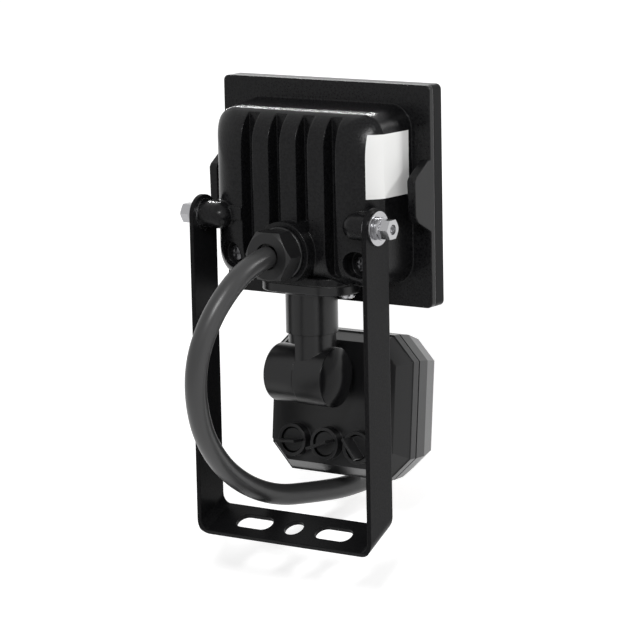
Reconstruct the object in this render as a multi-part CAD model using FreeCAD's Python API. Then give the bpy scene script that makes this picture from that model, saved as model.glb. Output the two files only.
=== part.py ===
"""Small LED floodlight on a U bracket, with a motion sensor head hanging under it.

The bracket's base plate lies flat on z = 0, centred on its middle hole, and +Z leaves the plate.
The arms lean towards -Y. The lamp and its sensor are drawn in the lamp's own frame, whose origin is
the pivot axis (X): Y runs from the light's front to its back, and Z runs along the arms.
"""
import FreeCAD, Part

import math
import os

V = FreeCAD.Vector

# Gaps between pieces
FACE_GAP = 0.05
MOVING_GAP = 0.3
RUNNING_FIT = 0.05

# Bracket: one folded steel strip. The housing narrows towards its back, so the arms' inner faces
# stand closer together, by ARM_TUCK, than the housing is wide at its front
STRIP = 2.0
ARM_WIDTH = 17.0
ARM_LEAN = 27.0
ARM_TUCK = 0.9
PIVOT_HEIGHT = 121.5
BEND_RADIUS = 4.0
CENTRE_HOLE = 9.0
SLOT_WIDTH = 8.4
SLOT_LENGTH = 18.4
SLOT_SPACING = 41.4

# Bezel frame, measured from the pivot
BEZEL_WIDTH = 106.4
BEZEL_TOP = 56.9
BEZEL_BOTTOM = -38.2
BEZEL_CORNER = 2.5
BEZEL_BACK = -30.0
BEZEL_DEPTH = 10.4
BEZEL_EDGE = 1.2
FLANGE = 3.0
LIP = 2.0
WINDOW_BORDER = 9.0
GLASS = 4.0
GLASS_BORDER = 5.5

# Rear housing
BODY_WIDTH = 87.8
BODY_TOP = 48.2
BODY_BOTTOM = -28.6
BODY_CORNER = 10.3
BODY_DRAFT = 3.5
RIB_PLANE = -1.0
TOP_DRAFT = 7.0
CREST = -10.5
CREST_CORNER = 9.5
CROWN_RADIUS = 16.0
CROWN_CORNER = 17.0
CROWN_RINGS = 7
SLOT_FLOOR = -8.0
FIN_PITCH = 14.2
FIN_GAP = 6.0
FIN_COUNT = 5
FIN_GAP_END = -24.0
LUG_THICKNESS = 3.8
LUG_REACH = 12.3
LUG_BASE = (-5.0, 25.4)
LUG_TIP = (2.0, 18.0)
BOSS_RADIUS = 5.8
BOSS_INSET = 14.5
BOSS_RIB = (-1.6, 4.1)
BOSS_RIB_TOP = 0.0
POCKET_INSET = 11.5
POCKET_Z = -17.3
POCKET_RADIUS = 6.0
POCKET_FLOOR = -9.4
CAVITY_STEP = -23.0
CAVITY_END = -12.0

# Pivot hardware, M5
BOLT_RADIUS = 2.5
BOLT_HOLE = 2.8
BOLT_LENGTH = 14.0
HEX = 8.0
HEX_HEIGHT = 5.5
HEX_CROWN = 1.4
HEX_FACE = 4.1
HEX_RIM = 0.9
HEX_COLLAR = 1.0
DIMPLE_RADIUS = 2.16
DIMPLE_DEPTH = 1.6
WASHER_RADIUS = 7.3
WASHER = 1.0
SPRING_RADIUS = 4.6
SPRING = 1.3

# Cable entry
GLAND_Z = -13.2
GLAND_BOSS = 13.3
GLAND_BOSS_TOP = 4.6
GLAND_FLANGE = 11.3
GLAND_FLANGE_HEIGHT = 1.8
GLAND_THREAD = 8.0
GLAND_BORE = 5.2
NUT_FLATS = 20.4
NUT_HEIGHT = 9.3
NUT_WALL = 2.2
SEAL = 2.6
CABLE = 9.4

# Sensor seat, stem and knuckle
STEM_Y = -17.0
SEAT_Z = -28.0
SEAT_HALF = 23.0
SEAT_DEPTH = 25.0
SEAT_GASKET = 0.5
SEAT_PLATE = 3.9
SEAT_SCREW_X = 18.4
STEM_RADIUS = 11.3
STEM_END = -50.5
NECK_RADIUS = 10.3
NECK_GAP = 2.0
SPIGOT_RADIUS = 8.0
SPIGOT_LENGTH = 12.0
KNUCKLE_Z = -69.8
KNUCKLE_RADIUS = 13.0
KNUCKLE_RIGHT = -12.0
KNUCKLE_SPLIT = 2.4
KNUCKLE_LEFT = 18.0
DOME_RISE = 3.9
PIN_RADIUS = 2.0
PIN_HEAD = 4.0
PIN_HEAD_DEPTH = 3.0

# Sensor head: octagonal outlines as half width, top, bottom, corner cut
SENSOR_TILT = 5.5
SENSOR_BACK = -33.4
SENSOR_RIM = -40.7
SENSOR_SEAM = -44.7
SENSOR_SHOULDER = -52.7
SENSOR_FRONT = -62.8
BACK_OUTLINE = (31.8, -55.6, -110.8, 8.6)
RIM_OUTLINE = (35.7, -52.5, -115.3, 10.4)
STEP = 0.6
SHOULDER_INSET = 0.6
FRONT_INSET = 3.4
GROOVE = 0.8
SENSOR_WALL = 2.0
LENS_RADIUS = 23.0
LENS_RISE = 7.0
LENS_WALL = 1.2
LENS_Z = -84.0
BOARD_Y = -46.0
BOARD = 1.6
POST_X = 26.0
POST_RADIUS = 3.0
POST_HOLE = 1.7
PIR_CAN = (4.6, 4.2)
PIR_RIM = (5.2, 0.6)
PIR_WINDOW = (1.6, 1.3, 0.2)
POT_HALF = 4.5
POT_NECK = (3.4, 1.5)
POT_GAP = 0.5

# Adjusting knobs
KNOB_PITCH = 17.0
KNOB_X = 1.2
KNOB_Z = -101.2
COLLAR_RADIUS = 7.2
COLLAR_HEIGHT = 4.5
COLLAR_WALL = 1.5
COLLAR_FLOOR = 0.6
KNOB_RADIUS = 5.4
GRIP = 1.1
GRIP_HEIGHT = 7.5
GRIP_ANGLES = (184.0, 202.0, 129.0)

# Light and driver inside the housing
CAVITY_WALL = 3.9
CAVITY_INSET = 17.9
CAVITY_LOW = (-25.0, -20.0)
CAVITY_HIGH = (44.5, 31.0)
CAVITY_CORNER = 17.0
LED_BOARD = 1.6
LED_CHIP = 1.0
CHIP_HALF = 11.0
BOARD_EDGE = 1.0
SHEET = 0.8
DRIVER_EDGE = 4.0
DRIVER_LOW = -2.0
TERMINAL_PITCH = 5.0

# Small screws and wires
SCREW_HOLE = 1.7
SCREW_HEAD = 3.6
SCREW_HEAD_HEIGHT = 2.2
SEAT_SCREW = 1.6
SEAT_SCREW_DEPTH = 3.6
WIRE_HOLE = 4.0
SHAFT = 2.0
WEB_HALF = 9.0
CORE = 1.4
CORE_CIRCLE = 2.3
CORE_LENGTH = 12.0
COPPER = 6.0

# Label on the housing's corner
LABEL = 0.15
LABEL_Z = (11.0, 38.0)
LABEL_REACH = 6.3
LABEL_MARGIN = 2.4

# Cable route in the lamp's frame, from the gland to the bare end
ROUTE = (
    (0.07, 14.7, -13.36), (1.0, 26.5, -15.5), (2.5, 38.5, -22.5), (6.0, 48.0, -34.5),
    (10.5, 52.5, -50.5), (14.5, 49.5, -69.0), (19.5, 36.5, -91.0), (23.0, 13.0, -112.0),
    (19.5, -12.0, -125.0), (10.0, -33.0, -126.2), (4.0, -49.0, -126.4), (4.0, -62.0, -126.0),
)


def box(x0, x1, y0, y1, z0, z1):
    corner = V(min(x0, x1), min(y0, y1), min(z0, z1))
    return Part.makeBox(abs(x1 - x0), abs(y1 - y0), abs(z1 - z0), corner)


def rod(radius, start, end):
    a = V(*start)
    b = V(*end)
    return Part.makeCylinder(radius, (b - a).Length, a, b - a)


def stack(profile, y0, y1):
    """Extrudes a wire drawn in the plane y = y0 as far as y1."""
    return Part.Face(profile).extrude(V(0, y1 - y0, 0))


def rounded_rectangle(x0, x1, z0, z1, r, y):
    """A rectangle with round corners, as a wire in the plane y."""
    edges = []
    k = r * (1 - math.sqrt(0.5))
    corners = (
        ((x1 - r, z0), (x1 - k, z0 + k), (x1, z0 + r)),
        ((x1, z1 - r), (x1 - k, z1 - k), (x1 - r, z1)),
        ((x0 + r, z1), (x0 + k, z1 - k), (x0, z1 - r)),
        ((x0, z0 + r), (x0 + k, z0 + k), (x0 + r, z0)),
    )
    for i, (start, middle, end) in enumerate(corners):
        points = [V(x, y, z) for x, z in (start, middle, end)]
        edges.append(Part.Arc(*points).toShape())
        following = corners[(i + 1) % len(corners)][0]
        edges.append(Part.LineSegment(points[2], V(following[0], y, following[1])).toShape())
    return Part.Wire(edges)


def octagon(outline, y, grow=0.0):
    """A rectangle with cut corners, as a wire in the plane y; grow moves every side outwards."""
    half, top, bottom, cut = outline
    half += grow
    top += grow
    bottom -= grow
    cut += grow * (2 - math.sqrt(2))
    corners = (
        (-half + cut, bottom), (half - cut, bottom), (half, bottom + cut), (half, top - cut),
        (half - cut, top), (-half + cut, top), (-half, top - cut), (-half, bottom + cut),
    )
    points = [V(x, y, z) for x, z in corners]
    return Part.makePolygon(points + points[:1])


def stadium(half_length, depth, z0, z1):
    """An upright plate with round ends, centred on the stem."""
    r = depth / 2
    middle = box(-half_length + r, half_length - r, STEM_Y - r, STEM_Y + r, z0, z1)
    ends = [rod(r, (s * (half_length - r), STEM_Y, z0), (s * (half_length - r), STEM_Y, z1)) for s in (-1, 1)]
    return middle.fuse(ends).removeSplitter()


def mirrored(shape):
    return shape.mirror(V(0, 0, 0), V(1, 0, 0))


def hexagon(flats, start, end):
    """A hexagonal bar from start to end, along X or Y."""
    radius = flats / math.sqrt(3)
    along_x = start[0] != end[0]
    points = []
    for i in range(6):
        a = math.radians(60 * i)
        u = radius * math.cos(a)
        w = radius * math.sin(a)
        aside = V(0, u, w) if along_x else V(u, 0, w)
        points.append(V(*start) + aside)
    face = Part.Face(Part.makePolygon(points + points[:1]))
    return face.extrude(V(*end) - V(*start))


def revolved(points, centre, axis):
    """Turns an outline of (radius, height) points about an axis through the centre."""
    face = Part.Face(Part.makePolygon([V(r, 0, h) for r, h in points + points[:1]]))
    turned = face.revolve(V(0, 0, 0), V(0, 0, 1), 360)
    turned.Placement = FreeCAD.Placement(V(*centre), FreeCAD.Rotation(V(0, 0, 1), V(*axis)))
    return turned


# Sizes that follow from the ones above
BEZEL_HALF = BEZEL_WIDTH / 2
FLANGE_FRONT = BEZEL_BACK - FLANGE
BEZEL_FRONT = BEZEL_BACK - BEZEL_DEPTH
INNER_SPAN = BODY_WIDTH - ARM_TUCK
ARM_INNER = INNER_SPAN / 2
ARM_OUTER = ARM_INNER + STRIP
BOSS_END = ARM_INNER - WASHER - 2 * FACE_GAP
BODY_HALF = BODY_WIDTH / 2
BOSS_START = BODY_HALF - BOSS_INSET
POCKET_X = BODY_HALF - POCKET_INSET
CAVITY_WIDE = BODY_HALF - CAVITY_WALL
CAVITY_NARROW = BODY_HALF - CAVITY_INSET
BOLT_BORE = BOLT_RADIUS + RUNNING_FIT
PIN_BORE = PIN_RADIUS + RUNNING_FIT
FIN_GAPS = [FIN_PITCH * (i - (FIN_COUNT - 2) / 2) for i in range(FIN_COUNT - 1)]
SEAT_TOP = SEAT_Z - SEAT_GASKET
SEAT_BOTTOM = SEAT_TOP - SEAT_PLATE
GLAND_FACE = GLAND_BOSS_TOP + FACE_GAP + GLAND_FLANGE_HEIGHT
NUT_BACK = GLAND_FACE + FACE_GAP
NUT_END = NUT_BACK + NUT_HEIGHT
SEAL_END = NUT_END - NUT_WALL
BODY_END = SEAL_END - SEAL
GLASS_FRONT = BEZEL_FRONT + LIP + FACE_GAP
GLASS_BACK = GLASS_FRONT + GLASS
GASKET_BACK = FLANGE_FRONT - FACE_GAP
BOARD_BACK = CAVITY_STEP - FACE_GAP
LIGHT_Z = (CAVITY_LOW[0] + CAVITY_HIGH[0]) / 2
PIVOT_Y = -(PIVOT_HEIGHT - STRIP) * math.tan(math.radians(ARM_LEAN))


def body_ring(y, half, low, high, corner):
    return rounded_rectangle(-half, half, low, high, corner, y)


def body_block(grow=0.0):
    """The housing's outside without fins: drafted walls up to a sharp line, then a crowned back."""
    back = RIB_PLANE + grow
    reach = CREST - BEZEL_BACK
    side = reach * math.tan(math.radians(BODY_DRAFT)) - grow
    upper = reach * math.tan(math.radians(TOP_DRAFT)) - grow
    base = body_ring(BEZEL_BACK, BODY_HALF + grow, BODY_BOTTOM - grow, BODY_TOP + grow, BODY_CORNER)
    crest = (BODY_HALF - side, BODY_BOTTOM + side, BODY_TOP - upper, CREST_CORNER + grow)
    walls = Part.makeLoft([base, body_ring(CREST + grow, *crest)], True, True)
    first = math.asin((CREST - RIB_PLANE + CROWN_RADIUS) / CROWN_RADIUS)
    rings = []
    for i in range(CROWN_RINGS):
        share = i / (CROWN_RINGS - 1)
        angle = first + (math.pi / 2 - first) * share
        inset = CROWN_RADIUS * (math.cos(first) - math.cos(angle))
        y = back - CROWN_RADIUS * (1 - math.sin(angle))
        corner = crest[3] + (CROWN_CORNER - crest[3]) * share
        rings.append(body_ring(y, crest[0] - inset, crest[1] + inset, crest[2] - inset, corner))
    return walls.fuse(Part.makeLoft(rings, True, False))


def lug():
    """The bevelled ear that stands back from the bezel's side."""
    y0 = BEZEL_BACK - FLANGE / 2
    y1 = BEZEL_BACK + LUG_REACH
    points = [V(BEZEL_HALF - LUG_THICKNESS, y, z) for y, z in (
        (y0, LUG_BASE[0]), (BEZEL_BACK, LUG_BASE[0]), (y1 - 2.5, LUG_TIP[0] - 1.9),
        (y1 - 0.4, LUG_TIP[0] + 0.8), (y1, LUG_TIP[1] - 0.3), (y1 - 0.9, LUG_TIP[1] + 1.1),
        (BEZEL_BACK + 1.8, LUG_BASE[1]), (y0, LUG_BASE[1]))]
    return Part.Face(Part.makePolygon(points + points[:1])).extrude(V(LUG_THICKNESS, 0, 0))


def pivot_boss():
    """The round boss that takes a pivot bolt, with its web down to the housing."""
    round_start = BOSS_START + BOSS_RADIUS
    barrel = rod(BOSS_RADIUS, (round_start, 0, 0), (BOSS_END, 0, 0))
    web = box(round_start, BOSS_END, SLOT_FLOOR - 4, 0, -BOSS_RADIUS, BOSS_RADIUS)
    end = rod(BOSS_RADIUS, (round_start, SLOT_FLOOR - 4, 0), (round_start, 0, 0))
    cap = Part.makeSphere(BOSS_RADIUS, V(round_start, 0, 0))
    return barrel.fuse([web, end, cap])


def boss_rib():
    """The flat rib that joins the left boss to the nearest slot."""
    start = max(FIN_GAPS) + FIN_GAP / 2
    return box(start, BOSS_START + BOSS_RADIUS, SLOT_FLOOR - 1, BOSS_RIB_TOP, *BOSS_RIB)


def rear_housing():
    plate = stack(rounded_rectangle(-BEZEL_HALF, BEZEL_HALF, BEZEL_BOTTOM, BEZEL_TOP, BEZEL_CORNER,
                                    FLANGE_FRONT), FLANGE_FRONT, BEZEL_BACK)
    block = body_block()
    gaps = []
    for x in FIN_GAPS:
        gap = box(x - FIN_GAP / 2, x + FIN_GAP / 2, SLOT_FLOOR, RIB_PLANE + 5,
                  FIN_GAP_END + FIN_GAP / 2, BODY_TOP + 5)
        end = rod(FIN_GAP / 2, (x, SLOT_FLOOR, FIN_GAP_END + FIN_GAP / 2),
                  (x, RIB_PLANE + 5, FIN_GAP_END + FIN_GAP / 2))
        gaps.append(gap.fuse(end))
    block = block.cut(gaps)
    boss = rod(GLAND_BOSS, (0, SLOT_FLOOR - 2, GLAND_Z), (0, GLAND_BOSS_TOP, GLAND_Z))
    pad = stadium(SEAT_HALF, SEAT_DEPTH, SEAT_Z, SEAT_Z + 3)
    half_bosses = [pivot_boss(), mirrored(pivot_boss()), boss_rib()]
    ears = [lug(), mirrored(lug())]
    solid = plate.fuse([block, boss, pad] + half_bosses + ears)
    depth = RIB_PLANE + 8
    cuts = []
    for s in (-1, 1):
        cuts.append(rod(POCKET_RADIUS, (s * POCKET_X, POCKET_FLOOR, POCKET_Z),
                        (s * POCKET_X, depth, POCKET_Z)))
        cuts.append(rod(SCREW_HOLE, (s * POCKET_X, FLANGE_FRONT - 1, POCKET_Z), (s * POCKET_X, 0, POCKET_Z)))
        cuts.append(rod(BOLT_BORE, (s * (ARM_INNER + 1), 0, 0), (s * (BOSS_START + 2), 0, 0)))
        cuts.append(rod(SEAT_SCREW + RUNNING_FIT, (s * SEAT_SCREW_X, STEM_Y, SEAT_Z - 1),
                        (s * SEAT_SCREW_X, STEM_Y, SEAT_Z + SEAT_SCREW_DEPTH)))
    cuts.append(rod(GLAND_THREAD + RUNNING_FIT, (0, CAVITY_END - 3, GLAND_Z), (0, depth, GLAND_Z)))
    cuts.append(rod(WIRE_HOLE, (0, STEM_Y, SEAT_Z - 1), (0, STEM_Y, CAVITY_LOW[0] + 1)))
    cuts.append(stadium(SEAT_HALF + MOVING_GAP, SEAT_DEPTH + 2 * MOVING_GAP, SEAT_Z - 3, SEAT_Z))
    wide = rounded_rectangle(-CAVITY_WIDE, CAVITY_WIDE, CAVITY_LOW[0], CAVITY_HIGH[0], CAVITY_CORNER,
                             FLANGE_FRONT - 1)
    cuts.append(stack(wide, FLANGE_FRONT - 1, CAVITY_STEP))
    cuts.append(box(-CAVITY_NARROW, CAVITY_NARROW, FLANGE_FRONT - 1, CAVITY_END,
                    CAVITY_LOW[1], CAVITY_HIGH[1]))
    return solid.cut(cuts).removeSplitter()


def front_frame():
    """The bezel: a flat ring with a lip over the glass and a bevelled edge."""
    back = FLANGE_FRONT - FACE_GAP
    outer = stack(rounded_rectangle(-BEZEL_HALF, BEZEL_HALF, BEZEL_BOTTOM, BEZEL_TOP, BEZEL_CORNER,
                                    BEZEL_FRONT), BEZEL_FRONT, back)
    rim = [e for e in outer.Edges if all(abs(v.Point.y - BEZEL_FRONT) < 1e-6 for v in e.Vertexes)]
    outer = outer.makeChamfer(BEZEL_EDGE, rim)
    half = BEZEL_HALF - WINDOW_BORDER
    low = BEZEL_BOTTOM + WINDOW_BORDER
    high = BEZEL_TOP - WINDOW_BORDER
    window = Part.makeLoft([
        rounded_rectangle(-half - LIP, half + LIP, low - LIP, high + LIP, 5.0, BEZEL_FRONT - FACE_GAP),
        rounded_rectangle(-half, half, low, high, 3.5, BEZEL_FRONT + LIP + FACE_GAP)], True, True)
    seat = glass_block(MOVING_GAP, BEZEL_FRONT + LIP, back + 1)
    return outer.cut([window, seat])


def glass_block(grow, y0, y1):
    half = BEZEL_HALF - GLASS_BORDER + grow
    return stack(rounded_rectangle(-half, half, BEZEL_BOTTOM + GLASS_BORDER - grow,
                                   BEZEL_TOP - GLASS_BORDER + grow, 3.0, y0), y0, y1)


def front_glass():
    return glass_block(0, GLASS_FRONT, GLASS_BACK)


def glass_gasket():
    ring = glass_block(0, GLASS_BACK + FACE_GAP, GASKET_BACK)
    half = BEZEL_HALF - WINDOW_BORDER
    hole = box(-half, half, GLASS_BACK, GASKET_BACK + 1,
               BEZEL_BOTTOM + WINDOW_BORDER, BEZEL_TOP - WINDOW_BORDER)
    return ring.cut(hole)


def reflector():
    """The pressed tray round the light: a wide mouth, sloping sides and a square opening."""
    front = GASKET_BACK - 1.0
    back = BOARD_BACK - LED_BOARD - FACE_GAP

    def tray(grow, y0, y1):
        half = CAVITY_WIDE - MOVING_GAP - SHEET + grow
        low = CAVITY_LOW[0] + MOVING_GAP + SHEET - grow
        high = CAVITY_HIGH[0] - MOVING_GAP - SHEET + grow
        small = CHIP_HALF + 2 + grow
        return Part.makeLoft([
            rounded_rectangle(-half, half, low, high, CAVITY_CORNER + grow - MOVING_GAP - SHEET, y0),
            rounded_rectangle(-small, small, LIGHT_Z - small, LIGHT_Z + small, 2.0, y1)], True, True)
    return tray(SHEET, front, back).cut(tray(0, front - FACE_GAP, back + FACE_GAP))


def led_board():
    half = CAVITY_WIDE - BOARD_EDGE
    outline = rounded_rectangle(-half, half, CAVITY_LOW[0] + BOARD_EDGE, CAVITY_HIGH[0] - BOARD_EDGE,
                                CAVITY_CORNER - BOARD_EDGE, BOARD_BACK - LED_BOARD)
    plate = stack(outline, BOARD_BACK - LED_BOARD, BOARD_BACK)
    notches = [rod(2.0, (s * half, BOARD_BACK - 3, LIGHT_Z), (s * half, BOARD_BACK + 1, LIGHT_Z))
               for s in (-1, 1)]
    return plate.cut(notches + screw_shanks(RUNNING_FIT))


def led_chip():
    front = BOARD_BACK - LED_BOARD - LED_CHIP
    return box(-CHIP_HALF, CHIP_HALF, front, front + LED_CHIP - FACE_GAP,
               LIGHT_Z - CHIP_HALF, LIGHT_Z + CHIP_HALF)


def led_driver():
    half = CAVITY_NARROW - DRIVER_EDGE
    high = CAVITY_HIGH[1] - DRIVER_EDGE / 2
    face = CAVITY_END - LED_BOARD - FACE_GAP
    middle = (DRIVER_LOW + high) / 2
    deep = face - CAVITY_STEP
    base = box(-half, half, face, CAVITY_END - FACE_GAP, DRIVER_LOW, high)
    coil = box(-half * 0.8, -half * 0.2, face - deep * 0.75, face, middle - half * 0.4, middle + half * 0.4)
    store = rod(half * 0.18, (half * 0.27, face - deep * 0.8, middle), (half * 0.27, face, middle))
    chip = box(half * 0.6, half * 0.9, face - deep * 0.6, face, middle - half * 0.35, middle + half * 0.35)
    return base.fuse([coil, store, chip]).removeSplitter()


def terminal_block():
    start = CAVITY_NARROW - 2 - 3 * TERMINAL_PITCH
    low = CAVITY_LOW[1] + 2
    high = DRIVER_LOW - 2
    front = CAVITY_END - FACE_GAP - (CAVITY_END - CAVITY_STEP) * 0.7
    block = box(start, start + 3 * TERMINAL_PITCH, front, CAVITY_END - FACE_GAP, low, high)
    holes = []
    for i in range(3):
        x = start + (i + 0.5) * TERMINAL_PITCH
        holes.append(rod(TERMINAL_PITCH * 0.3, (x, front - 1, (low + high) / 2), (x, front + 5, (low + high) / 2)))
    return block.cut(holes)


def screw_shanks(grow):
    """The screws that hold the light's board from the housing's corner pockets."""
    start = BOARD_BACK - LED_BOARD + FACE_GAP - grow
    return [rod(SCREW_HOLE - RUNNING_FIT + grow, (s * POCKET_X, start, POCKET_Z),
                (s * POCKET_X, POCKET_FLOOR + 0.2, POCKET_Z)) for s in (-1, 1)]


def pan_head(radius, height, centre, axis):
    """A domed screw head with a cross recess."""
    outline = [(0, 0), (radius, 0), (radius, height * 0.35), (radius * 0.86, height * 0.75),
               (radius * 0.5, height), (0, height)]
    head = revolved(outline, (0, 0, 0), (0, 0, 1))
    arm = radius * 0.62
    half = radius * 0.13
    deep = height * 0.45
    cross = [box(-arm, arm, -half, half, deep, height + 1), box(-half, half, -arm, arm, deep, height + 1)]
    head = head.cut(cross)
    head.Placement = FreeCAD.Placement(V(*centre), FreeCAD.Rotation(V(0, 0, 1), V(*axis)))
    return head


def housing_screws():
    screws = []
    for shank in screw_shanks(0):
        x = shank.BoundBox.Center.x
        head = pan_head(SCREW_HEAD, SCREW_HEAD_HEIGHT, (x, POCKET_FLOOR + FACE_GAP, POCKET_Z), (0, 1, 0))
        screws.append(head.fuse(shank))
    return Part.makeCompound(screws)


def gland_body():
    """Threaded tube with a round flange that seats on the housing's boss."""
    base = GLAND_BOSS_TOP + FACE_GAP
    outline = [(0, 0), (GLAND_FLANGE - 0.5, 0), (GLAND_FLANGE, 0.5),
               (GLAND_FLANGE, GLAND_FLANGE_HEIGHT - 0.4),
               (GLAND_FLANGE - 0.4, GLAND_FLANGE_HEIGHT), (0, GLAND_FLANGE_HEIGHT)]
    flange = revolved(outline, (0, base, GLAND_Z), (0, 1, 0))
    tube = rod(GLAND_THREAD, (0, CAVITY_END + 0.5, GLAND_Z), (0, BODY_END, GLAND_Z))
    bore = rod(GLAND_BORE, (0, CAVITY_END - 1, GLAND_Z), (0, BODY_END + 1, GLAND_Z))
    return flange.fuse(tube).cut(bore).removeSplitter()


def gland_seal():
    ring = rod(GLAND_THREAD, (0, BODY_END + FACE_GAP, GLAND_Z), (0, SEAL_END - FACE_GAP, GLAND_Z))
    return ring.cut(rod(CABLE / 2 - 0.4, (0, BODY_END, GLAND_Z), (0, SEAL_END, GLAND_Z)))


def gland_nut():
    """Hexagon nut with bevelled corners over the seal, open for the cable."""
    bar = hexagon(NUT_FLATS, (0, NUT_BACK, GLAND_Z), (0, NUT_END, GLAND_Z))
    turned = NUT_FLATS / math.sqrt(3)
    skin = revolved([(0, 0), (turned - 0.6, 0), (turned + 0.2, 0.8), (turned + 0.2, NUT_HEIGHT - 1.3),
                     (turned - 1.9, NUT_HEIGHT), (0, NUT_HEIGHT)], (0, NUT_BACK, GLAND_Z), (0, 1, 0))
    inside = rod(GLAND_THREAD + RUNNING_FIT, (0, NUT_BACK - 1, GLAND_Z), (0, SEAL_END, GLAND_Z))
    mouth = rod(CABLE / 2 + 0.9, (0, SEAL_END - 1, GLAND_Z), (0, NUT_END + 1, GLAND_Z))
    return bar.common(skin).cut([inside, mouth])


def cable_path():
    """Straight runs joined by tangent arcs, as large as their runs allow."""
    points = [V(*p) for p in ROUTE]
    edges = []
    start = points[0]
    for before, corner, after in zip(points, points[1:], points[2:]):
        run = min((corner - before).Length, (after - corner).Length)
        back = (before - corner).normalize()
        ahead = (after - corner).normalize()
        turn = math.pi - back.getAngle(ahead)
        reach = 0.45 * run
        radius = reach / math.tan(turn / 2)
        print("cable radius", round(radius, 1))
        a = corner + back * reach
        b = corner + ahead * reach
        middle = corner + (back + ahead).normalize() * (radius / math.cos(turn / 2) - radius)
        edges.append(Part.LineSegment(start, a).toShape())
        edges.append(Part.Arc(a, middle, b).toShape())
        start = b
    edges.append(Part.LineSegment(start, points[-1]).toShape())
    return Part.Wire(edges)


def supply_cord():
    path = cable_path()
    section = Part.Wire(Part.Circle(V(*ROUTE[0]), V(*ROUTE[1]) - V(*ROUTE[0]), CABLE / 2).toShape())
    tube = path.makePipeShell([section], True, False)
    print("cable volume over section times length", tube.Volume / (math.pi * CABLE ** 2 / 4 * path.Length))
    print("cable length", path.Length)
    return tube


def wire_ends():
    """The three stripped cores at the cable's bare end."""
    end = V(*ROUTE[-1])
    way = (end - V(*ROUTE[-2])).normalize()
    cores = []
    for i in range(3):
        a = math.radians(90 + 120 * i)
        side = V(CORE_CIRCLE * math.cos(a), 0, CORE_CIRCLE * math.sin(a))
        start = end + side + way * FACE_GAP
        insulation = Part.makeCylinder(CORE, CORE_LENGTH, start, way)
        copper = Part.makeCylinder(CORE * 0.6, COPPER, start + way * (CORE_LENGTH - FACE_GAP), way)
        cores.append(insulation.fuse(copper))
    return Part.makeCompound(cores)


def bolt(side):
    """Hexagon flange bolt with a round dimple in its head, screwed into the boss."""
    seat = ARM_OUTER + 3 * FACE_GAP + WASHER + SPRING + FACE_GAP
    head = hexagon(HEX, (seat, 0, 0), (seat + HEX_HEIGHT, 0, 0))
    skin = revolved([(0, 0), (HEX, 0), (HEX, HEX_HEIGHT - HEX_CROWN), (HEX_FACE, HEX_HEIGHT), (0, HEX_HEIGHT)],
                    (seat, 0, 0), (1, 0, 0))
    collar = rod(HEX / 2 + HEX_RIM, (seat, 0, 0), (seat + HEX_COLLAR, 0, 0))
    dimple = rod(DIMPLE_RADIUS, (seat + HEX_HEIGHT - DIMPLE_DEPTH, 0, 0), (seat + HEX_HEIGHT + 1, 0, 0))
    shank = rod(BOLT_RADIUS, (seat - BOLT_LENGTH, 0, 0), (seat + 0.5, 0, 0))
    whole = head.common(skin).fuse([collar, shank]).cut(dimple).removeSplitter()
    return whole if side > 0 else mirrored(whole)


def ring_pair(radius, bore, start, thickness):
    """The same washer on both sides of the lamp."""
    disc = rod(radius, (start, 0, 0), (start + thickness, 0, 0))
    one = disc.cut(rod(bore, (start - 1, 0, 0), (start + thickness + 1, 0, 0)))
    return [one, mirrored(one)]


def inner_washers():
    return Part.makeCompound(ring_pair(WASHER_RADIUS - 0.3, BOLT_BORE, BOSS_END + FACE_GAP, WASHER))


def flat_washers():
    return Part.makeCompound(ring_pair(WASHER_RADIUS, BOLT_BORE, ARM_OUTER + 2 * FACE_GAP, WASHER))


def spring_washers():
    """Split rings between the bolt heads and the flat washers."""
    start = ARM_OUTER + 3 * FACE_GAP + WASHER
    rings = ring_pair(SPRING_RADIUS, BOLT_BORE, start, SPRING - FACE_GAP)
    split = box(-ARM_OUTER - 9, ARM_OUTER + 9, -0.5, 0.5, 0, SPRING_RADIUS + 1)
    return Part.makeCompound([ring.cut(split) for ring in rings])


def label():
    """Blank sticker that wraps from the housing's back round on to its side."""
    skin = body_block(LABEL + 0.02).cut(body_block(0.02))
    reach = box(LABEL_REACH - BODY_HALF, -BODY_WIDTH, BEZEL_BACK + LABEL_MARGIN, RIB_PLANE + 2, *LABEL_Z)
    return skin.common(reach)


def seat_gasket():
    plate = stadium(SEAT_HALF - 0.4, SEAT_DEPTH - 0.8, SEAT_TOP + FACE_GAP, SEAT_Z - FACE_GAP)
    cuts = [rod(WIRE_HOLE, (0, STEM_Y, SEAT_TOP - 1), (0, STEM_Y, SEAT_Z + 1))]
    for s in (-1, 1):
        cuts.append(rod(SEAT_SCREW + RUNNING_FIT, (s * SEAT_SCREW_X, STEM_Y, SEAT_TOP - 1),
                        (s * SEAT_SCREW_X, STEM_Y, SEAT_Z + 1)))
    return plate.cut(cuts)


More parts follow.
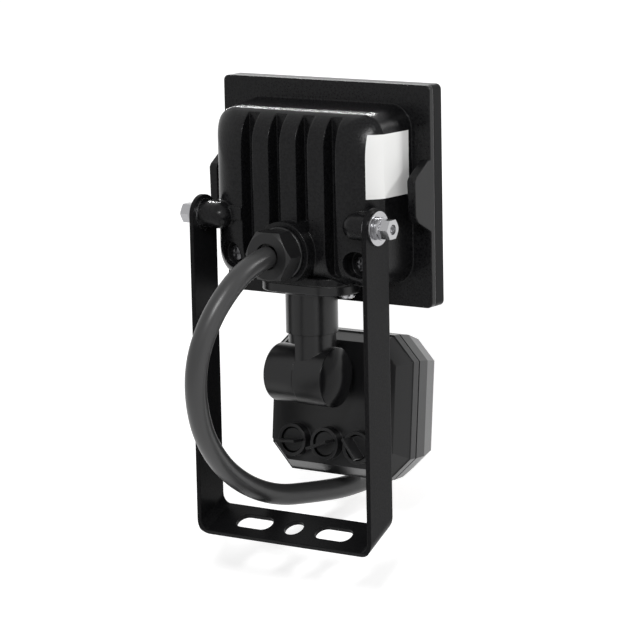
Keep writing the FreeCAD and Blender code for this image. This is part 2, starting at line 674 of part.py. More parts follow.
def sensor_base():
    """Oval plate and stem, moulded as one, that carries the sensor under the lamp."""
    plate = stadium(SEAT_HALF, SEAT_DEPTH, SEAT_BOTTOM, SEAT_TOP)
    rims = [e for e in plate.Edges if all(abs(v.Point.z - SEAT_BOTTOM) < 1e-6 for v in e.Vertexes)]
    plate = plate.makeFillet(0.8, rims)
    stem = rod(STEM_RADIUS, (0, STEM_Y, STEM_END), (0, STEM_Y, SEAT_TOP))
    whole = plate.fuse(stem)
    foot = [e for e in whole.Edges if e.BoundBox.ZLength < 1e-6 and abs(e.BoundBox.ZMin - SEAT_BOTTOM) < 1e-6
            and abs(e.BoundBox.XLength - 2 * STEM_RADIUS) < 1e-3]
    whole = whole.makeFillet(1.0, foot)
    bore_end = STEM_END + SPIGOT_LENGTH + MOVING_GAP
    cuts = [rod(SPIGOT_RADIUS + RUNNING_FIT, (0, STEM_Y, STEM_END - 1), (0, STEM_Y, bore_end)),
            rod(WIRE_HOLE, (0, STEM_Y, STEM_END), (0, STEM_Y, SEAT_Z))]
    for s in (-1, 1):
        cuts.append(rod(SEAT_SCREW + RUNNING_FIT, (s * SEAT_SCREW_X, STEM_Y, SEAT_BOTTOM - 1),
                        (s * SEAT_SCREW_X, STEM_Y, SEAT_Z)))
    return whole.cut(cuts)


def seat_screws():
    screws = []
    for s in (-1, 1):
        x = s * SEAT_SCREW_X
        head = pan_head(SCREW_HEAD, SCREW_HEAD_HEIGHT, (x, STEM_Y, SEAT_BOTTOM - FACE_GAP), (0, 0, -1))
        shank = rod(SEAT_SCREW, (x, STEM_Y, SEAT_BOTTOM - 0.5), (x, STEM_Y, SEAT_Z + SEAT_SCREW_DEPTH - 0.4))
        screws.append(head.fuse(shank))
    return Part.makeCompound(screws)


def knuckle_rod(radius, x0, x1):
    return rod(radius, (x0, STEM_Y, KNUCKLE_Z), (x1, STEM_Y, KNUCKLE_Z))


def elbow():
    """The swivel: a neck that turns in the stem, ending in the right half of the knuckle."""
    top = STEM_END - MOVING_GAP / 2
    barrel = knuckle_rod(KNUCKLE_RADIUS, KNUCKLE_RIGHT, KNUCKLE_SPLIT)
    shoulder = KNUCKLE_Z + KNUCKLE_RADIUS + NECK_GAP
    neck = rod(NECK_RADIUS, (0, STEM_Y, KNUCKLE_Z), (0, STEM_Y, top))
    spare = box(KNUCKLE_SPLIT, NECK_RADIUS + 1, STEM_Y - NECK_RADIUS - 1, STEM_Y + NECK_RADIUS + 1,
                KNUCKLE_Z - 1, shoulder)
    spigot = rod(SPIGOT_RADIUS, (0, STEM_Y, top - 1), (0, STEM_Y, STEM_END + SPIGOT_LENGTH))
    whole = barrel.fuse([neck.cut(spare), spigot])
    bore = rod(WIRE_HOLE, (0, STEM_Y, KNUCKLE_Z + PIN_RADIUS + 4), (0, STEM_Y, STEM_END + SPIGOT_LENGTH + 1))
    pin = knuckle_rod(PIN_BORE, KNUCKLE_RIGHT - 1, KNUCKLE_SPLIT + 1)
    pocket = knuckle_rod(PIN_HEAD + 0.4, KNUCKLE_RIGHT - 1, KNUCKLE_RIGHT + PIN_HEAD_DEPTH)
    return whole.cut([bore, pin, pocket]).removeSplitter()


def knuckle_screw():
    start = KNUCKLE_RIGHT + FACE_GAP
    head = knuckle_rod(PIN_HEAD, start, KNUCKLE_RIGHT + PIN_HEAD_DEPTH - FACE_GAP)
    shank = knuckle_rod(PIN_RADIUS, start, KNUCKLE_LEFT - 3)
    return head.fuse(shank)


def dome_cap():
    """The domed cover over the knuckle screw."""
    base = KNUCKLE_RIGHT - FACE_GAP
    sphere = (KNUCKLE_RADIUS ** 2 + DOME_RISE ** 2) / (2 * DOME_RISE)
    ball = Part.makeSphere(sphere, V(base - DOME_RISE + sphere, STEM_Y, KNUCKLE_Z))
    return ball.common(knuckle_rod(sphere, base, base - DOME_RISE - 1))


def knob_places():
    return [(KNOB_X + KNOB_PITCH * (1 - i), KNOB_Z) for i in range(3)]


def sensor_back_cover():
    """Rear shell of the sensor, with its half of the knuckle and the knobs' collars."""
    outer = Part.makeLoft([octagon(BACK_OUTLINE, SENSOR_BACK), octagon(RIM_OUTLINE, SENSOR_RIM)], True, True)
    rim = stack(octagon(RIM_OUTLINE, SENSOR_RIM, STEP), SENSOR_RIM, SENSOR_SEAM)
    lug_split = KNUCKLE_SPLIT + MOVING_GAP
    barrel = knuckle_rod(KNUCKLE_RADIUS - 0.3, lug_split, KNUCKLE_LEFT)
    ends = [e for e in barrel.Edges if all(abs(v.Point.x - KNUCKLE_LEFT) < 1e-6 for v in e.Vertexes)
            and e.BoundBox.XLength < 1e-6]
    barrel = barrel.makeFillet(1.2, ends)
    web = box(lug_split, KNUCKLE_LEFT - 1.2, SENSOR_BACK - 1, STEM_Y,
              KNUCKLE_Z - WEB_HALF, KNUCKLE_Z + WEB_HALF)
    collars = []
    for x, z in knob_places():
        collars.append(rod(COLLAR_RADIUS, (x, SENSOR_BACK - 1, z), (x, SENSOR_BACK + COLLAR_HEIGHT, z)))
    whole = outer.fuse([rim, barrel, web] + collars)
    inside = Part.makeLoft([octagon(BACK_OUTLINE, SENSOR_BACK - SENSOR_WALL, -SENSOR_WALL),
                            octagon(RIM_OUTLINE, SENSOR_SEAM - 1, -SENSOR_WALL)], True, True)
    cuts = [inside, knuckle_rod(PIN_BORE, lug_split - 1, KNUCKLE_LEFT - 2.5)]
    for x, z in knob_places():
        cuts.append(rod(COLLAR_RADIUS - COLLAR_WALL, (x, SENSOR_BACK + COLLAR_FLOOR, z),
                        (x, SENSOR_BACK + COLLAR_HEIGHT + 1, z)))
        cuts.append(rod(SHAFT + RUNNING_FIT, (x, SENSOR_BACK - SENSOR_WALL - 1, z), (x, SENSOR_BACK + 1, z)))
    return whole.cut(cuts).removeSplitter()


def sensor_front_cover():
    """Front shell of the sensor: a tongue behind a groove, then bevelled towards the lens."""
    start = SENSOR_SEAM - FACE_GAP
    tongue = stack(octagon(RIM_OUTLINE, SENSOR_SEAM - GROOVE - 1, -GROOVE), SENSOR_SEAM - GROOVE - 1, start)
    body = Part.makeLoft([octagon(RIM_OUTLINE, SENSOR_SEAM - GROOVE, STEP),
                          octagon(RIM_OUTLINE, SENSOR_SHOULDER, STEP - SHOULDER_INSET)], True, True)
    bevel = Part.makeLoft([octagon(RIM_OUTLINE, SENSOR_SHOULDER, STEP - SHOULDER_INSET),
                           octagon(RIM_OUTLINE, SENSOR_FRONT, STEP - FRONT_INSET)], True, True)
    inside = stack(octagon(RIM_OUTLINE, SENSOR_FRONT + SENSOR_WALL, -SENSOR_WALL - FRONT_INSET / 2),
                   SENSOR_FRONT + SENSOR_WALL, start + 1)
    hole = rod(LENS_RADIUS + FACE_GAP, (0, SENSOR_FRONT - 1, LENS_Z), (0, SENSOR_FRONT + 5, LENS_Z))
    return tongue.fuse([body, bevel]).cut([inside, hole]).removeSplitter()


def sensor_lens():
    """The thin domed lens, with a flange behind the front cover."""
    def dome(shrink):
        r = LENS_RADIUS - shrink
        h = LENS_RISE - shrink
        sphere = (r * r + h * h) / (2 * h)
        ball = Part.makeSphere(sphere, V(0, SENSOR_FRONT - h + sphere, LENS_Z))
        return ball.common(rod(r, (0, SENSOR_FRONT, LENS_Z), (0, SENSOR_FRONT - h - 1, LENS_Z)))
    skirt_end = SENSOR_FRONT + SENSOR_WALL + FACE_GAP
    skirt = rod(LENS_RADIUS, (0, SENSOR_FRONT, LENS_Z), (0, skirt_end + LENS_WALL, LENS_Z))
    flange = rod(LENS_RADIUS + 2, (0, skirt_end, LENS_Z), (0, skirt_end + LENS_WALL, LENS_Z))
    hollow = rod(LENS_RADIUS - LENS_WALL, (0, SENSOR_FRONT, LENS_Z), (0, skirt_end + LENS_WALL + 1, LENS_Z))
    return dome(0).fuse([skirt, flange]).cut([dome(LENS_WALL), hollow]).removeSplitter()


def sensor_board():
    """The sensor's circuit board, on edge pads of the rear shell."""
    outline = octagon(RIM_OUTLINE, BOARD_Y, -SENSOR_WALL - FRONT_INSET / 2 - MOVING_GAP)
    plate = stack(outline, BOARD_Y, BOARD_Y + BOARD)
    holes = [rod(POST_HOLE, (s * POST_X, BOARD_Y - 1, LENS_Z), (s * POST_X, BOARD_Y + BOARD + 1, LENS_Z))
             for s in (-1, 1)]
    return plate.cut(holes)


def board_posts():
    """Moulded spacers between the rear shell and the board."""
    start = BOARD_Y + BOARD + FACE_GAP
    end = SENSOR_BACK - SENSOR_WALL - FACE_GAP
    posts = [rod(POST_RADIUS, (s * POST_X, start, LENS_Z), (s * POST_X, end, LENS_Z)) for s in (-1, 1)]
    return Part.makeCompound(posts)


def pir_element():
    """The round can that looks out through the lens, with a window in its end."""
    base = (0, BOARD_Y - FACE_GAP, LENS_Z)
    can = rod(PIR_CAN[0], (0, BOARD_Y - PIR_CAN[1], LENS_Z), base)
    rim = rod(PIR_RIM[0], (0, BOARD_Y - PIR_RIM[1], LENS_Z), base)
    wide, tall, deep = PIR_WINDOW
    pane = BOARD_Y - PIR_CAN[1] + deep
    window = box(-wide, wide, pane - 1, pane, LENS_Z - tall, LENS_Z + tall)
    return can.fuse(rim).cut(window)


def potentiometers():
    neck_end = SENSOR_BACK - SENSOR_WALL - MOVING_GAP - POT_GAP
    back = neck_end - POT_NECK[1]
    bodies = []
    for x, z in knob_places():
        front = BOARD_Y + BOARD + FACE_GAP
        pot = box(x - POT_HALF, x + POT_HALF, front, back, z - POT_HALF, z + POT_HALF)
        pot = pot.fuse(rod(POT_NECK[0], (x, back, z), (x, neck_end, z)))
        bodies.append(pot.cut(rod(SHAFT + RUNNING_FIT, (x, back - 4, z), (x, neck_end + 1, z))))
    return Part.makeCompound(bodies)


def knob(index):
    """A round knob with a tall thin grip, on the shaft that turns the potentiometer."""
    x, z = knob_places()[index]
    floor = SENSOR_BACK + COLLAR_FLOOR + MOVING_GAP
    top = SENSOR_BACK + COLLAR_HEIGHT - 0.9
    disc = rod(KNOB_RADIUS, (x, floor, z), (x, top, z))
    rims = [e for e in disc.Edges if e.BoundBox.YLength < 1e-6 and abs(e.BoundBox.YMin - top) < 1e-6]
    disc = disc.makeFillet(0.5, rims)
    grip_end = top + GRIP_HEIGHT
    grip = box(x - KNOB_RADIUS, x + KNOB_RADIUS, top - 0.5, grip_end, z - GRIP / 2, z + GRIP / 2)
    shaft = rod(SHAFT, (x, SENSOR_BACK - SENSOR_WALL - 5, z), (x, floor + 0.5, z))
    grip.rotate(V(x, 0, z), V(0, 1, 0), GRIP_ANGLES[index])
    return disc.fuse([grip, shaft]).removeSplitter()


def u_bracket():
    """One strip folded twice; its arms lean, so the outline is a slanted band with a round top."""
    slanted = ARM_WIDTH / 2 / math.cos(math.radians(ARM_LEAN))
    wide = ARM_OUTER + STRIP
    tall = PIVOT_HEIGHT + ARM_WIDTH
    deep = abs(PIVOT_Y) + 2 * ARM_WIDTH

    def channel(half, low, r):
        k = r * (1 - math.sqrt(0.5))
        profile = [V(half, 0, tall), V(half, 0, low + r), V(half - k, 0, low + k), V(half - r, 0, low)]
        right = [Part.LineSegment(profile[0], profile[1]).toShape(), Part.Arc(*profile[1:]).toShape()]
        left = [e.mirror(V(0, 0, 0), V(1, 0, 0)) for e in right]
        floor = Part.LineSegment(V(half - r, 0, low), V(r - half, 0, low)).toShape()
        lid = Part.LineSegment(V(half, 0, tall), V(-half, 0, tall)).toShape()
        wire = Part.Wire(Part.__sortEdges__(right + left + [floor, lid]))
        block = Part.Face(wire).extrude(V(0, 2 * deep, 0))
        block.translate(V(0, -deep, 0))
        return block
    sheet = channel(ARM_OUTER, 0, BEND_RADIUS + STRIP).cut(channel(ARM_INNER, STRIP, BEND_RADIUS))
    across = ARM_WIDTH / 2 * math.cos(math.radians(ARM_LEAN))
    rise = ARM_WIDTH / 2 * math.sin(math.radians(ARM_LEAN))
    band = [V(-wide, y, z) for y, z in (
        (slanted, -1), (slanted, STRIP), (PIVOT_Y + across, PIVOT_HEIGHT + rise),
        (PIVOT_Y - across, PIVOT_HEIGHT - rise), (-slanted, STRIP), (-slanted, -1))]
    outline = Part.Face(Part.makePolygon(band + band[:1])).extrude(V(2 * wide, 0, 0))
    pivot = ((-wide, PIVOT_Y, PIVOT_HEIGHT), (wide, PIVOT_Y, PIVOT_HEIGHT))
    strip = sheet.common(outline.fuse(rod(ARM_WIDTH / 2, *pivot)))
    cuts = [rod(BOLT_HOLE, *pivot), rod(CENTRE_HOLE / 2, (0, 0, -1), (0, 0, STRIP + 1))]
    half = (SLOT_LENGTH - SLOT_WIDTH) / 2
    for s in (-1, 1):
        x = s * SLOT_SPACING / 2
        slot = box(x - half, x + half, -SLOT_WIDTH / 2, SLOT_WIDTH / 2, -1, STRIP + 1)
        ends = [rod(SLOT_WIDTH / 2, (x + e * half, 0, -1), (x + e * half, 0, STRIP + 1)) for e in (-1, 1)]
        cuts.append(slot.fuse(ends))
    return strip.cut(cuts).removeSplitter()


def place(shape):
    """Moves a piece from the lamp's frame to the bracket's."""
    turned = shape.copy()
    lean = FreeCAD.Rotation(V(1, 0, 0), ARM_LEAN)
    turned.Placement = FreeCAD.Placement(V(0, PIVOT_Y, PIVOT_HEIGHT), lean).multiply(turned.Placement)
    return turned


def tilt_sensor(shape):
    """Turns a piece of the sensor head about the knuckle's screw."""
    turn = FreeCAD.Placement(V(0, 0, 0), FreeCAD.Rotation(V(1, 0, 0), SENSOR_TILT), V(0, STEM_Y, KNUCKLE_Z))
    turned = shape.copy()
    turned.Placement = turn.multiply(turned.Placement)
    return turned


def main():
    os.makedirs("parts", exist_ok=True)
    lamp = {
        "rear_housing": rear_housing,
        "front_frame": front_frame,
        "front_glass": front_glass,
        "glass_gasket": glass_gasket,
        "reflector": reflector,
        "led_board": led_board,
        "led_chip": led_chip,
        "led_driver": led_driver,
        "terminal_block": terminal_block,
        "housing_screws": housing_screws,
        "gland_body": gland_body,
        "gland_seal": gland_seal,
        "gland_nut": gland_nut,
        "supply_cord": supply_cord,
        "wire_ends": wire_ends,
        "pivot_bolt_left": lambda: bolt(1),
        "pivot_bolt_right": lambda: bolt(-1),
        "inner_washers": inner_washers,
        "flat_washers": flat_washers,
        "spring_washers": spring_washers,
        "blank_label": label,
        "seat_gasket": seat_gasket,
        "sensor_base": sensor_base,
        "seat_screws": seat_screws,
        "elbow": elbow,
        "knuckle_screw": knuckle_screw,
        "dome_cap": dome_cap,
    }
    sensor = {
        "sensor_back_cover": sensor_back_cover,
        "sensor_front_cover": sensor_front_cover,
        "sensor_lens": sensor_lens,
        "sensor_board": sensor_board,
        "board_posts": board_posts,
        "pir_element": pir_element,
        "potentiometers": potentiometers,
        "knob_light_level": lambda: knob(0),
        "knob_on_time": lambda: knob(1),
        "knob_sensitivity": lambda: knob(2),
    }
    u_bracket().exportStep("parts/u_bracket.step")
    for name, make in (lamp | sensor).items():
        shape = tilt_sensor(make()) if name in sensor else make()
        shape = place(shape)
        if not shape.isValid():
            print("not valid:", name)
        shape.exportStep("parts/" + name + ".step")


main()
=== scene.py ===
"""Looks of the motion sensor floodlight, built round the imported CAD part.

Lengths are in metres unless a comment says otherwise. The origin is the middle hole of the bracket's
base plate, on the side that lies on the wall.
"""

import math

import bpy
from mathutils import Matrix, Vector


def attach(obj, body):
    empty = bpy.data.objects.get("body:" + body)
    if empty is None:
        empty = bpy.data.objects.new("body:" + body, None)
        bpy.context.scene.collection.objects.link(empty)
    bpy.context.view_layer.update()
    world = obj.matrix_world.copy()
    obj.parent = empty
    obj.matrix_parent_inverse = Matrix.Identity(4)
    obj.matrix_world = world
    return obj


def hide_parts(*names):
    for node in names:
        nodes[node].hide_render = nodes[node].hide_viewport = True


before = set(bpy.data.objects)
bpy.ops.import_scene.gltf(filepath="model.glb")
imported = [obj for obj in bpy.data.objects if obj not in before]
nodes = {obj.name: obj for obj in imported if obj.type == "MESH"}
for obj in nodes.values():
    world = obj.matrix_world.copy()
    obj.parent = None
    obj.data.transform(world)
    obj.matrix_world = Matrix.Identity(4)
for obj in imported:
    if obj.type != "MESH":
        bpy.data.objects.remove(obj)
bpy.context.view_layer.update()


# Camera that matches the photograph: angles in degrees, its picture and focal length in pixels, and
# the width of its sensor in millimetres
AZIMUTH = 221.086
ELEVATION = 31.967
ROLL = -18.819
DISTANCE = 1.376633
AIM = Vector((0.0, -0.03, 0.07))
AIM_ASIDE = (0.012904, 0.019596)
PICTURE_WIDTH = 630
SENSOR_WIDTH = 36
FOCAL_PIXELS = 3226.584

# The lamp's own frame: its origin is the pivot, and it leans with the bracket's arms, which rise from
# the top of the base plate
LEAN = math.radians(27.0)
PLATE = 0.002
PIVOT_HEIGHT = 0.1215
PIVOT = Vector((0.0, -(PIVOT_HEIGHT - PLATE) * math.tan(LEAN), PIVOT_HEIGHT))
LAMP = Matrix.Translation(PIVOT) @ Matrix.Rotation(LEAN, 4, "X")


def lamp_point(x, y, z):
    """A point of the lamp's frame, in millimetres, as a point of the row frame, in metres."""
    return LAMP @ Vector((x / 1000, y / 1000, z / 1000))


# Materials: values that all grains and mottles share
GRAIN_DETAIL = 3.0
EDGE_SAMPLES = 6
MOTTLE_DETAIL = 4.0
MOTTLE_RAMP = (0.35, 0.65)


def shader(name, colour, roughness, metallic=0.0, specular=0.5):
    """A plain material with one colour and gloss."""
    material = bpy.data.materials.new(name)
    material.use_nodes = True
    surface = material.node_tree.nodes["Principled BSDF"]
    surface.inputs["Base Color"].default_value = (*colour, 1.0)
    surface.inputs["Roughness"].default_value = roughness
    surface.inputs["Metallic"].default_value = metallic
    surface.inputs["Specular IOR Level"].default_value = specular
    return material


def grain(material, scale, strength, distance, edge=0.0):
    """A fine relief and, with an edge radius, edges that catch light. Scale is in cells per metre."""
    tree = material.node_tree
    surface = tree.nodes["Principled BSDF"]
    place = tree.nodes.new("ShaderNodeTexCoord")
    noise = tree.nodes.new("ShaderNodeTexNoise")
    noise.inputs["Scale"].default_value = scale
    noise.inputs["Detail"].default_value = GRAIN_DETAIL
    bump = tree.nodes.new("ShaderNodeBump")
    bump.inputs["Strength"].default_value = strength
    bump.inputs["Distance"].default_value = distance
    tree.links.new(place.outputs["Object"], noise.inputs["Vector"])
    tree.links.new(noise.outputs["Fac"], bump.inputs["Height"])
    tree.links.new(bump.outputs["Normal"], surface.inputs["Normal"])
    if edge > 0:
        soft = tree.nodes.new("ShaderNodeBevel")
        soft.samples = EDGE_SAMPLES
        soft.inputs["Radius"].default_value = edge
        tree.links.new(soft.outputs["Normal"], bump.inputs["Normal"])


def mottle(material, dark, light, scale):
    """Breaks a plain colour into two close tones. Scale is in cells per metre."""
    tree = material.node_tree
    surface = tree.nodes["Principled BSDF"]
    place = tree.nodes.new("ShaderNodeTexCoord")
    noise = tree.nodes.new("ShaderNodeTexNoise")
    noise.inputs["Scale"].default_value = scale
    noise.inputs["Detail"].default_value = MOTTLE_DETAIL
    ramp = tree.nodes.new("ShaderNodeValToRGB")
    for element, position, colour in zip(ramp.color_ramp.elements, MOTTLE_RAMP, (dark, light)):
        element.position = position
        element.color = (*colour, 1.0)
    tree.links.new(place.outputs["Object"], noise.inputs["Vector"])
    tree.links.new(noise.outputs["Fac"], ramp.inputs["Fac"])
    tree.links.new(ramp.outputs["Color"], surface.inputs["Base Color"])


housing_paint = shader("satin_black_coat", (0.005, 0.005, 0.0055), 0.24, specular=0.15)
grain(housing_paint, 1500, 0.3, 0.0002, edge=0.0009)
mottle(housing_paint, (0.003, 0.003, 0.0035), (0.008, 0.008, 0.0085), 900)

frame_paint = shader("satin_black_frame", (0.002, 0.002, 0.0025), 0.32, specular=0.06)
grain(frame_paint, 2600, 0.22, 0.00012, edge=0.0006)

bracket_paint = shader("textured_black_coat", (0.005, 0.005, 0.0055), 0.32, specular=0.06)
grain(bracket_paint, 1900, 0.4, 0.00012, edge=0.0006)
mottle(bracket_paint, (0.003, 0.003, 0.0035), (0.009, 0.009, 0.0095), 1500)

sensor_plastic = shader("matte_black_plastic", (0.007, 0.007, 0.0075), 0.28, specular=0.32)
grain(sensor_plastic, 2200, 0.3, 0.00010, edge=0.0004)

dome_plastic = shader("gloss_black_plastic", (0.005, 0.005, 0.0055), 0.2, specular=0.14)
grain(dome_plastic, 2200, 0.05, 0.00005, edge=0.0004)

gland_plastic = shader("nylon_black", (0.007, 0.007, 0.0075), 0.36, specular=0.3)
grain(gland_plastic, 1500, 0.12, 0.00010, edge=0.0003)

knob_plastic = shader("knob_black", (0.008, 0.008, 0.0085), 0.4, specular=0.3)
grain(knob_plastic, 1500, 0.1, 0.00005, edge=0.0003)

cord_rubber = shader("cord_rubber", (0.026, 0.026, 0.0265), 0.36, specular=0.45)
grain(cord_rubber, 900, 0.15, 0.00012)

steel = shader("zinc_steel", (0.36, 0.36, 0.37), 0.24, metallic=1.0)
grain(steel, 1200, 0.08, 0.00006)

dark_steel = shader("black_oxide_steel", (0.12, 0.12, 0.125), 0.35, metallic=1.0)
grain(dark_steel, 1200, 0.08, 0.00006)

label_white = shader("label_white", (0.76, 0.76, 0.75), 0.5, specular=0.2)
grain(label_white, 700, 0.06, 0.00005)

grey_rubber = shader("grey_rubber", (0.05, 0.05, 0.05), 0.7)
grain(grey_rubber, 1500, 0.2, 0.0001)

glass = shader("clear_glass", (0.93, 0.96, 0.96), 0.03)
glass_inputs = glass.node_tree.nodes["Principled BSDF"].inputs
glass_inputs["Transmission Weight"].default_value = 0.95
glass_inputs["IOR"].default_value = 1.5

reflector_metal = shader("reflector_sheet", (0.82, 0.82, 0.83), 0.22, metallic=1.0)
grain(reflector_metal, 2500, 0.1, 0.00008)

board_white = shader("board_white", (0.75, 0.76, 0.74), 0.5)
grain(board_white, 1500, 0.05, 0.00005)

phosphor = shader("phosphor", (0.85, 0.62, 0.08), 0.35)
grain(phosphor, 1500, 0.05, 0.00005)

board_green = shader("board_green", (0.02, 0.12, 0.05), 0.4)
grain(board_green, 1500, 0.1, 0.00005)

terminal_plastic = shader("terminal_plastic", (0.7, 0.7, 0.68), 0.5)
grain(terminal_plastic, 1500, 0.1, 0.00005)

core_plastic = shader("core_plastic", (0.30, 0.12, 0.05), 0.45)
grain(core_plastic, 1500, 0.1, 0.00005)

lens_plastic = shader("lens_plastic", (0.82, 0.82, 0.80), 0.38)
lens_inputs = lens_plastic.node_tree.nodes["Principled BSDF"].inputs
lens_inputs["Subsurface Weight"].default_value = 0.25
lens_inputs["Subsurface Scale"].default_value = 0.002
grain(lens_plastic, 1200, 0.06, 0.0001)

LOOKS = {
    "u_bracket": bracket_paint,
    "rear_housing": housing_paint,
    "front_frame": frame_paint,
    "front_glass": glass,
    "glass_gasket": grey_rubber,
    "reflector": reflector_metal,
    "led_board": board_white,
    "led_chip": phosphor,
    "led_driver": board_green,
    "terminal_block": terminal_plastic,
    "housing_screws": dark_steel,
    "gland_body": gland_plastic,
    "gland_seal": grey_rubber,
    "gland_nut": gland_plastic,
    "supply_cord": cord_rubber,
    "wire_ends": core_plastic,
    "pivot_bolt_left": steel,
    "pivot_bolt_right": steel,
    "inner_washers": steel,
    "flat_washers": steel,
    "spring_washers": steel,
    "blank_label": label_white,
    "seat_gasket": grey_rubber,
    "sensor_base": sensor_plastic,
    "seat_screws": steel,
    "elbow": sensor_plastic,
    "knuckle_screw": steel,
    "dome_cap": dome_plastic,
    "sensor_back_cover": sensor_plastic,
    "sensor_front_cover": sensor_plastic,
    "sensor_lens": lens_plastic,
    "sensor_board": board_green,
    "board_posts": sensor_plastic,
    "pir_element": steel,
    "potentiometers": board_green,
    "knob_light_level": knob_plastic,
    "knob_on_time": knob_plastic,
    "knob_sensitivity": knob_plastic,
}
for name, node in nodes.items():
    node.data.materials.clear()
    node.data.materials.append(LOOKS[name])

# Supply cord: a smooth spline along the solid's route, in millimetres of the lamp's frame
ROUTE = (
    (0.07, 14.7, -13.36), (1.0, 26.5, -15.5), (2.5, 38.5, -22.5), (6.0, 48.0, -34.5),
    (10.5, 52.5, -50.5), (14.5, 49.5, -69.0), (19.5, 36.5, -91.0), (23.0, 13.0, -112.0),
    (19.5, -12.0, -125.0), (10.0, -33.0, -126.2), (4.0, -49.0, -126.4), (4.0, -62.0, -126.0),
)
CORD_DIAMETER = 0.0094
CORD_ROUNDNESS = 10
CORD_STEPS = 16

curve = bpy.data.curves.new("supply_cord_smooth", "CURVE")
curve.dimensions = "3D"
curve.bevel_depth = CORD_DIAMETER / 2
curve.bevel_resolution = CORD_ROUNDNESS
curve.resolution_u = CORD_STEPS
curve.use_fill_caps = True
spline = curve.splines.new("NURBS")
spline.points.add(len(ROUTE) - 1)
for point, stop in zip(spline.points, ROUTE):
    point.co = (*lamp_point(*stop), 1.0)
spline.order_u = 3
spline.use_endpoint_u = True
curve.materials.append(cord_rubber)
supply_cord = bpy.data.objects.new("supply_cord_smooth", curve)
bpy.context.scene.collection.objects.link(supply_cord)
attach(supply_cord, "lamp_head")
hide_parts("supply_cord")

# Floor and world: camera, glossy and transmission rays find the floor glowing and the world white,
# and all other rays find a plain pale floor and a dimmer world
FLOOR_GLOW = 0.6
ROOM_LIGHT = 0.4
FLOOR_HALF = 2.5
FLOOR_HEIGHT = -0.034
FLOOR_SIGNS = ((-1, -1), (1, -1), (1, 1), (-1, 1))
FLOOR_GREY = (0.8, 0.8, 0.8, 1.0)
WHITE = (1.0, 1.0, 1.0, 1.0)

floor_mesh = bpy.data.meshes.new("floor")
corners = [(x * FLOOR_HALF, y * FLOOR_HALF, FLOOR_HEIGHT) for x, y in FLOOR_SIGNS]
floor_mesh.from_pydata(corners, [], [(0, 1, 2, 3)])
floor = bpy.data.objects.new("floor", floor_mesh)
bpy.context.scene.collection.objects.link(floor)


def background_rays(tree):
    """One where a camera, glossy or transmission ray looks, so that these see the white background."""
    path = tree.nodes.new("ShaderNodeLightPath")
    first = tree.nodes.new("ShaderNodeMath")
    first.operation = "MAXIMUM"
    second = tree.nodes.new("ShaderNodeMath")
    second.operation = "MAXIMUM"
    tree.links.new(path.outputs["Is Camera Ray"], first.inputs[0])
    tree.links.new(path.outputs["Is Glossy Ray"], first.inputs[1])
    tree.links.new(first.outputs[0], second.inputs[0])
    tree.links.new(path.outputs["Is Transmission Ray"], second.inputs[1])
    return second.outputs[0]


floor_paint = bpy.data.materials.new("floor_white")
floor_paint.use_nodes = True
tree = floor_paint.node_tree
surface = tree.nodes["Principled BSDF"]
surface.inputs["Base Color"].default_value = FLOOR_GREY
surface.inputs["Roughness"].default_value = 0.9
surface.inputs["Specular IOR Level"].default_value = 0.0
glow = tree.nodes.new("ShaderNodeMath")
glow.operation = "MULTIPLY"
glow.inputs[1].default_value = FLOOR_GLOW
tree.links.new(background_rays(tree), glow.inputs[0])
surface.inputs["Emission Color"].default_value = WHITE
tree.links.new(glow.outputs[0], surface.inputs["Emission Strength"])
floor_mesh.materials.append(floor_paint)

world = bpy.data.worlds.new("studio")
bpy.context.scene.world = world
world.use_nodes = True
tree = world.node_tree
tree.nodes.clear()
out = tree.nodes.new("ShaderNodeOutputWorld")
room = tree.nodes.new("ShaderNodeBackground")
room.inputs["Color"].default_value = WHITE
room.inputs["Strength"].default_value = ROOM_LIGHT
white = tree.nodes.new("ShaderNodeBackground")
white.inputs["Color"].default_value = WHITE
white.inputs["Strength"].default_value = 1.0
mix = tree.nodes.new("ShaderNodeMixShader")
tree.links.new(background_rays(tree), mix.inputs[0])
tree.links.new(room.outputs[0], mix.inputs[1])
tree.links.new(white.outputs[0], mix.inputs[2])
tree.links.new(mix.outputs[0], out.inputs["Surface"])

# Camera and lamps, each lamp at the same distance from the point that the camera aims by
LAMP_REACH = 1.0

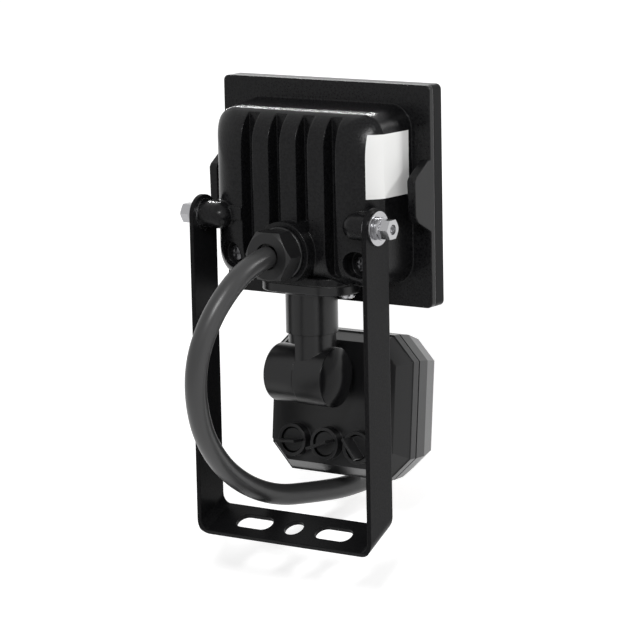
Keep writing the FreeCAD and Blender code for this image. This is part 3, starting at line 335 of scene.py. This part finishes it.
turn, lift, roll = (math.radians(a) for a in (AZIMUTH, ELEVATION, ROLL))
back = Vector((math.sin(turn) * math.cos(lift), -math.cos(turn) * math.cos(lift), math.sin(lift)))
level = Vector((0, 0, 1)).cross(back).normalized()
upright = back.cross(level)
across = math.cos(roll) * level + math.sin(roll) * upright
above = -math.sin(roll) * level + math.cos(roll) * upright
aim = AIM + AIM_ASIDE[0] * across + AIM_ASIDE[1] * above
camera_place = aim + back * DISTANCE

camera_data = bpy.data.cameras.new("camera")
camera_data.lens = FOCAL_PIXELS * SENSOR_WIDTH / PICTURE_WIDTH
camera_data.sensor_width = SENSOR_WIDTH
camera = bpy.data.objects.new("camera", camera_data)
camera_turn = Matrix((across, above, back)).transposed().to_4x4()
camera.matrix_world = Matrix.Translation(camera_place) @ camera_turn
bpy.context.scene.collection.objects.link(camera)
bpy.context.scene.camera = camera


def area_light(name, direction, along, length, width, glow):
    """A lamp with its direction and long side as (aside, up, towards) of the camera, glow per area."""
    way = (across * direction[0] + above * direction[1] + back * direction[2]).normalized()
    side = across * along[0] + above * along[1] + back * along[2]
    side = (side - way * side.dot(way)).normalized()
    data = bpy.data.lights.new(name, "AREA")
    data.shape = "RECTANGLE"
    data.size = length
    data.size_y = width
    data.energy = math.pi * length * width * glow
    lamp = bpy.data.objects.new(name, data)
    turned = Matrix((side, way.cross(side), way)).transposed().to_4x4()
    lamp.matrix_world = Matrix.Translation(AIM + way * LAMP_REACH) @ turned
    bpy.context.scene.collection.objects.link(lamp)
    return lamp


# A narrow strip above and behind the part draws the bright line along the housing's crest. It lights
# only the upper pieces, because it would whiten the sensor's top edge.
crest_strip = area_light("crest_strip", (-0.10, 0.66, -0.75), (0.9, 0.3, 0.4), 0.7, 0.03, 75.0)
upper_pieces = bpy.data.collections.new("upper_pieces")
for upper in ("rear_housing", "front_frame", "blank_label", "gland_body", "gland_nut"):
    upper_pieces.objects.link(nodes[upper])
crest_strip.light_linking.receiver_collection = upper_pieces

# A box at the upper right for the corners, one above the camera, and a weak fill at its right
area_light("corner_box", (0.80, 0.59, 0.04), (0.6, -0.7, 0.4), 0.26, 0.10, 50.0)
area_light("top_box", (-0.12, 0.42, 0.90), (0.4, 0.3, -0.08), 0.3, 0.14, 41.0)
area_light("front_fill", (0.5, -0.15, 0.85), (1.0, 0.0, 0.0), 0.5, 0.5, 0.9)

bpy.context.scene.view_settings.view_transform = "Standard"
